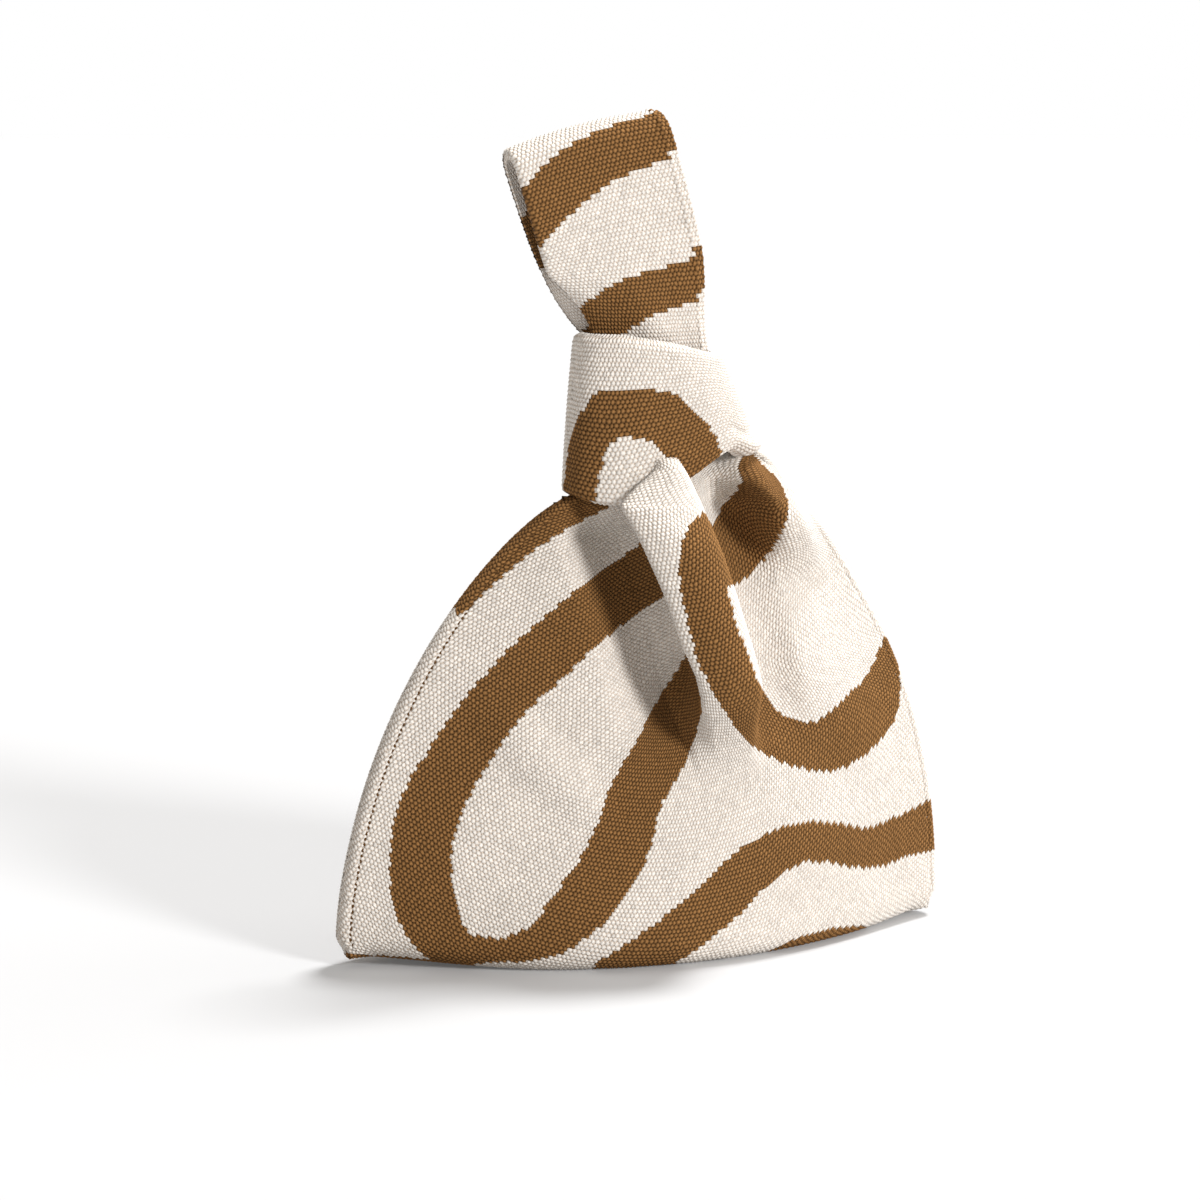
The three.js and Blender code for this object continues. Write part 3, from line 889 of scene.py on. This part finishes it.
def makeBand():
    around = np.linspace(0, 1, band["around"] + 1)
    t = (1 - np.cos(np.linspace(0, math.pi, band["up"]))) / 2
    aa, tt = np.meshgrid(around, t, indexing="ij")
    outer = bandSurface(aa, tt)
    inner = outer - gridNormals(outer) * cloth["thick"] * band["drawn"]
    sheet = clothSheet("short_handle_cloth", outer, inner, brownAt(outer, bandStripes))
    line = bandSurface(around, np.full(len(around), 0.5))
    reach = np.concatenate([[0], np.cumsum(np.linalg.norm(np.diff(line, axis=0), axis=-1))])
    count = int(reach[-1] / band["course"])
    rows = 2 * int((band["top"] - band["low"] - band["rowsLess"]) / band["wale"] / 2)
    a = np.linspace(0, count, count * cloth["across"] + 1)
    b = np.linspace(0, rows, rows * cloth["along"] + 1)
    a, b = np.meshgrid(a, b, indexing="ij")
    grid = bandSurface(np.interp(a / count, reach / reach[-1], around), b / rows)
    keep = np.ones((a.shape[0] - 1, a.shape[1] - 1), bool)
    brown = brownAt(grid, bandStripes)
    skin = knitSkin("short_handle_knit", grid, a, b, keep, brown, seed=5)
    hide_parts("short_handle_front", "short_handle_back", "short_handle_join")
    for piece in (sheet, skin):
        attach(piece, "pouch")


makeBand()
print("band made")

# Long handle: one strap that comes up out of the knot, turns over and goes down again.
loop = dict(
    lean=18.0,
    topSlope=13.5,
    slopeReach=60.0,
    swingX=-2.0,
    swingZ=276.5,
    topWidth=72.0,
    rootWidth=52.0,
    flare=(-17.0, 50.0),  # where it begins to widen, from the bend up, and over how far
    length=90.0,
    topGap=11.0,
    rootGap=4.0,
    tail=36.0,
    gather=15.5,
    bow=2.5,
    bowMiddle=0.4,
    crease=3.0,  # where the knot gathers it
    creaseAt=(4.0, 30.0),  # middle and half length, from the bend up
    creaseAcross=(0.1, 0.5),
    creaseSlant=150.0,
    pinch=2.8,  # and presses its edges together
    pinchAt=(5.0, 42.0),
    pinchFrom=0.3,
    curl=8.0,  # its left edge is drawn back there
    curlAt=(4.0, 24.0),
    drawIn=0.5,  # and in, by this share
    edgeShift=8.0,  # pixels by which the stripes lie higher beyond the ridge
    backShift=-22.0,  # and lower on the strap behind
    edge=2.0,
    edgeRoll=0.8,
    margin=4.2,  # from the right edge to the ridge
    ridge=(0.7, 1.3),  # height and half width
    groove=(0.5, 1.2),  # the same, for the groove beyond it
    grooveStep=2.4,
    columns=40,
    rows=150,
    linePoints=120,
    bendPoints=60,
)


def strapLine():  # distance from the middle plane and height over the bend, along the strap's outer face
    rootRadius = loop["rootGap"] / 2 + cloth["thick"]
    topRadius = loop["topGap"] / 2 + cloth["thick"]
    straight = loop["length"] - topRadius
    up = np.linspace(-loop["tail"], straight, loop["linePoints"])
    half = rootRadius + (topRadius - rootRadius) * ease(up, loop["gather"], straight - loop["gather"])
    angle = np.linspace(0, math.pi, loop["bendPoints"])[1:-1]
    y = np.concatenate([-half, -topRadius * np.cos(angle), half[::-1]])
    z = np.concatenate([up, straight + topRadius * np.sin(angle), up[::-1]])
    path = np.concatenate([[0], np.cumsum(np.hypot(np.diff(y), np.diff(z)))])
    return path, y, z


def strapSurface(p, path):  # p from -1 to 1 across the strap, path along it
    reach, y, z = strapLine()
    up = np.interp(path, reach, z)
    width = loop["rootWidth"] + (loop["topWidth"] - loop["rootWidth"]) * ease(up, *loop["flare"])
    tilt = math.radians(loop["topSlope"]) * smooth(up / loop["slopeReach"])
    lean = math.radians(loop["lean"])
    across = p * width / 2
    rise = up + loop["bow"] * (loop["bowMiddle"] - p * p) * smooth(up / loop["length"])
    x = loop["swingX"] + across * np.cos(tilt) - rise * math.sin(lean)
    height = loop["swingZ"] + across * np.sin(tilt) + rise * math.cos(lean)
    back = loop["curl"] * np.maximum(-p, 0) ** 2 * hump(up, *loop["curlAt"])
    return np.stack([x + back * loop["drawIn"], np.interp(path, reach, y) + back, height], axis=-1)


def strapFace(p, path):  # the strap with its edges rolled in and a ridge beside the right one
    flat = strapSurface(p, path)
    width = loop["topWidth"]
    inward = -gridNormals(flat)
    sink = roundEnd((1 - np.abs(p)) * width / 2, loop["edge"]) * loop["edgeRoll"]
    beside = (1 - p) * width / 2 - loop["margin"]
    high, wide = loop["ridge"]
    sink = sink - high * hump(beside, 0, wide)
    deep, wide = loop["groove"]
    sink = sink + deep * hump(beside, -loop["grooveStep"], wide)
    line = strapLine()
    up = np.interp(path, line[0], line[2])
    slanted = hump(p + up / loop["creaseSlant"], *loop["creaseAcross"])
    sink = sink - loop["crease"] * slanted * hump(up, *loop["creaseAt"])
    towardsEdge = np.maximum(np.abs(p) - loop["pinchFrom"], 0) / (1 - loop["pinchFrom"])
    sink = sink + loop["pinch"] * towardsEdge**2 * hump(up, *loop["pinchAt"])
    return flat + inward * sink[..., None]


def makeLoop():
    length = strapLine()[0][-1]
    p = -np.cos(np.linspace(0, math.pi, loop["columns"]))
    p, path = np.meshgrid(p, np.linspace(0, length, loop["rows"]), indexing="ij")
    outer = strapFace(p, path)
    flat = strapSurface(p, path)
    inner = flat - gridNormals(flat) * cloth["thick"]
    brown = brownAt(outer, loopStripes, loop["backShift"] * (path > length / 2))
    sheet = clothSheet("long_handle_cloth", outer, inner, brown)
    wales = int(loop["topWidth"] / cloth["wale"])
    courses = int(length / cloth["course"])
    a = np.linspace(0, wales, wales * cloth["across"] + 1)
    b = np.linspace(0, courses, courses * cloth["along"] + 1)
    a, b = np.meshgrid(a, b, indexing="ij")
    share = 2 * a / wales - 1
    path = np.minimum(b * cloth["course"], length)
    grid = strapFace(share, path)
    keep = np.ones((a.shape[0] - 1, a.shape[1] - 1), bool)
    beyond = (1 - share) * loop["topWidth"] / 2 < loop["margin"]
    shift = loop["edgeShift"] * beyond + loop["backShift"] * (path > length / 2)
    skin = knitSkin("long_handle_knit", grid, a, b, keep, brownAt(grid, loopStripes, shift), seed=6)
    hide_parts(*[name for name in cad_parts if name.startswith("long_handle")])
    for piece in (sheet, skin):
        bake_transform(piece)


makeLoop()
print("loop made")

# Seams: a row of small stitches along each, of rounded beads.
seams = dict(
    pitch=2.5,
    length=0.95,
    width=0.75,
    sideEnds=(3.0, 192.0),  # heights
    baseEnds=(0.06, 0.94),  # shares of the width
    baseZ=0.8,
    points=200,
    leftProud=0.25,  # off the wall
    rightProud=-0.35,
    lean=0.3,  # outwards, to the side
    bump=0.4,
    bumpDepth=0.0004,
)


def beadShape():  # a cube cut in four on each side and blown up to a ball: 26 points, 24 faces
    step = np.arange(3) - 1.0
    u, v = np.meshgrid(step, step, indexing="ij")
    points, quads = [], []
    for axis in range(3):
        for sign in (-1, 1):
            side = np.stack([np.full(u.shape, float(sign)), u, v], axis=-1)
            faces = gridQuads(3, 3).reshape(-1, 4) + 9 * len(points)
            quads.append(faces if sign > 0 else faces[:, ::-1])
            points.append(np.roll(side, axis, axis=-1).reshape(-1, 3))
    points, place = np.unique(np.concatenate(points), axis=0, return_inverse=True)
    return unit(points), place.ravel()[np.concatenate(quads)]


def stitchRow(name, line, out, material):  # beads at an even pitch along a line, lengthwise on it
    reach = np.concatenate([[0], np.cumsum(np.linalg.norm(np.diff(line, axis=0), axis=-1))])
    spots = np.arange(seams["pitch"] / 2, reach[-1], seams["pitch"])
    centres = np.stack([np.interp(spots, reach, line[:, k]) for k in range(3)], axis=-1)
    outward = unit(np.stack([np.interp(spots, reach, out[:, k]) for k in range(3)], axis=-1))
    ahead = unit(np.gradient(centres, axis=0))
    beside = unit(np.cross(outward, ahead))
    ball, faces = beadShape()
    turned = np.stack([ahead * seams["length"], beside * seams["width"], outward * seams["width"]], axis=1)
    points = (centres[:, None] + ball @ turned).reshape(-1, 3)
    quads = (faces + len(ball) * np.arange(len(centres))[:, None, None]).reshape(-1, 4)
    obj = makeObject(name, points, quads)[0]
    obj.data.materials.append(material)
    return obj


def yarnFinish(name, colour, hollowShade):  # one yarn, with painted shade in the hollows between its fibres
    made = Finish(name)
    spot = made.node("ShaderNodeTexCoord", {}, {}, 3)
    fibre = made.node("ShaderNodeTexNoise", {}, dict(Vector=spot, Scale=yarn["fibre"], Detail=2.0))
    bumpSockets = dict(Strength=seams["bump"], Distance=seams["bumpDepth"], Height=fibre)
    made.set(
        Base_Color=made.mix(fibre, hollowShade, colour),
        Roughness=yarn["rough"],
        Specular_IOR_Level=yarn["shine"],
        Normal=made.node("ShaderNodeBump", {}, bumpSockets),
    )
    return made.material


brownYarn = yarnFinish("brown linking yarn", yarn["link"], yarn["brownPaintedShade"])
creamYarn = yarnFinish("cream linking yarn", yarn["cream"], yarn["creamPaintedShade"])


def seamLine(side, left):  # along the groove beside a side edge, on the front or the back
    z = np.linspace(*seams["sideEnds"], seams["points"])
    edges = sideEdges(z)
    if left:
        s = pouch["leftShare"] * pouch["seamInset"] / (foldX(z) - fold["half"] - edges[0])
    else:
        rest = 1 - pouch["leftShare"] - pouch["foldShare"]
        s = 1 - rest * pouch["seamInset"] / (edges[1] - foldX(z) - fold["half"])
    x, y = wallAt(s, z, 1)
    proud = seams["leftProud"] if left else seams["rightProud"]
    return np.stack([x, side * (y + proud) - sway(s, z), z + baseLift(s, z)], axis=-1)


def makeSeams():
    for name, left, material in (("left", True, brownYarn), ("right", False, creamYarn)):
        rows = []
        for side in (-1, 1):
            line = seamLine(side, left)
            out = np.broadcast_to([-seams["lean"] if left else seams["lean"], side, 0.0], line.shape)
            face = "_front" if side < 0 else "_back"
            rows.append(stitchRow(name + "_side_stitches" + face, line, out, material))
        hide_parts(name + "_side_seam")
        for row in rows:
            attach(row, "pouch")
    s = np.linspace(*seams["baseEnds"], seams["points"])
    line = np.stack([acrossAt(s, 0.0), np.zeros(len(s)), seams["baseZ"] + baseLift(s, 0.0)], axis=-1)
    row = stitchRow("bottom_stitches", line, np.broadcast_to([0.0, 0.0, -1.0], line.shape), brownYarn)
    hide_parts("bottom_seam")
    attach(row, "pouch")


makeSeams()
print("seams made")

# Floor, backdrop and light.
studio = dict(
    floor=(0.54, 0.543, 0.55, 1),
    rough=0.9,
    front=20.0,  # how far the floor goes, in metres
    back=40.0,
    glow=0.085,
    world=0.33,
    fill=(1, 0.93, 0.85, 1),
    white=(1, 1, 1, 1),
    black=(0, 0, 0, 1),
)


def seenRay(nodes):  # 1 on rays of the camera, of mirrors and through glass
    eye = nodes.node("ShaderNodeLightPath", {}, {}, "Is Camera Ray")
    mirror = eye.other("Is Glossy Ray")
    through = eye.other("Is Transmission Ray")
    return eye.math("MAXIMUM", mirror).math("MAXIMUM", through)


def makeStage():
    front, back = studio["front"], studio["back"]
    points = np.array([[-front, -front, 0], [front, -front, 0], [front, back, 0], [-front, back, 0]]) / mm
    floor = makeObject("floor", points, np.array([[0, 1, 2, 3]]))[0]
    made = Finish("pale floor")
    made.set(
        Base_Color=studio["floor"],
        Roughness=studio["rough"],
        Specular_IOR_Level=0.0,
        Emission_Color=made.mix(seenRay(made), studio["black"], studio["white"]),
        Emission_Strength=studio["glow"],
    )
    floor.data.materials.append(made.material)
    world = bpy.data.worlds.new("studio")
    bpy.context.scene.world = world
    world.use_nodes = True
    nodes = Nodes(world.node_tree)
    fill = nodes.tree.nodes["Background"]
    fill.inputs["Color"].default_value = studio["fill"]
    fill.inputs["Strength"].default_value = studio["world"]
    white = nodes.node("ShaderNodeBackground", {}, dict(Color=studio["white"]))
    sides = {0: seenRay(nodes), 1: Value(nodes.tree, fill.outputs[0]), 2: white}
    both = nodes.node("ShaderNodeMixShader", {}, sides)
    nodes.tree.links.new(both.socket, nodes.tree.nodes["World Output"].inputs["Surface"])


lamps = dict(
    key=dict(azimuth=28.0, elevation=24.0, spread=14.0, strength=2.45),
    side=dict(azimuth=92.0, elevation=38.0, spread=34.0, strength=0.5),
    top=dict(azimuth=112.0, elevation=68.0, spread=12.0, strength=3.3),
)


def makeLamps():  # suns with a wide disc, each from its azimuth and elevation
    for name, lamp in lamps.items():
        data = bpy.data.lights.new(name, "SUN")
        data.energy = lamp["strength"]
        data.angle = math.radians(lamp["spread"])
        obj = bpy.data.objects.new(name, data)
        bpy.context.scene.collection.objects.link(obj)
        a, e = math.radians(lamp["azimuth"]), math.radians(lamp["elevation"])
        source = Vector((math.sin(a) * math.cos(e), -math.cos(a) * math.cos(e), math.sin(e)))
        obj.rotation_euler = source.to_track_quat("Z", "Y").to_euler()


makeStage()
makeLamps()
bpy.context.scene.view_settings.view_transform = "Standard"
print("stage set")
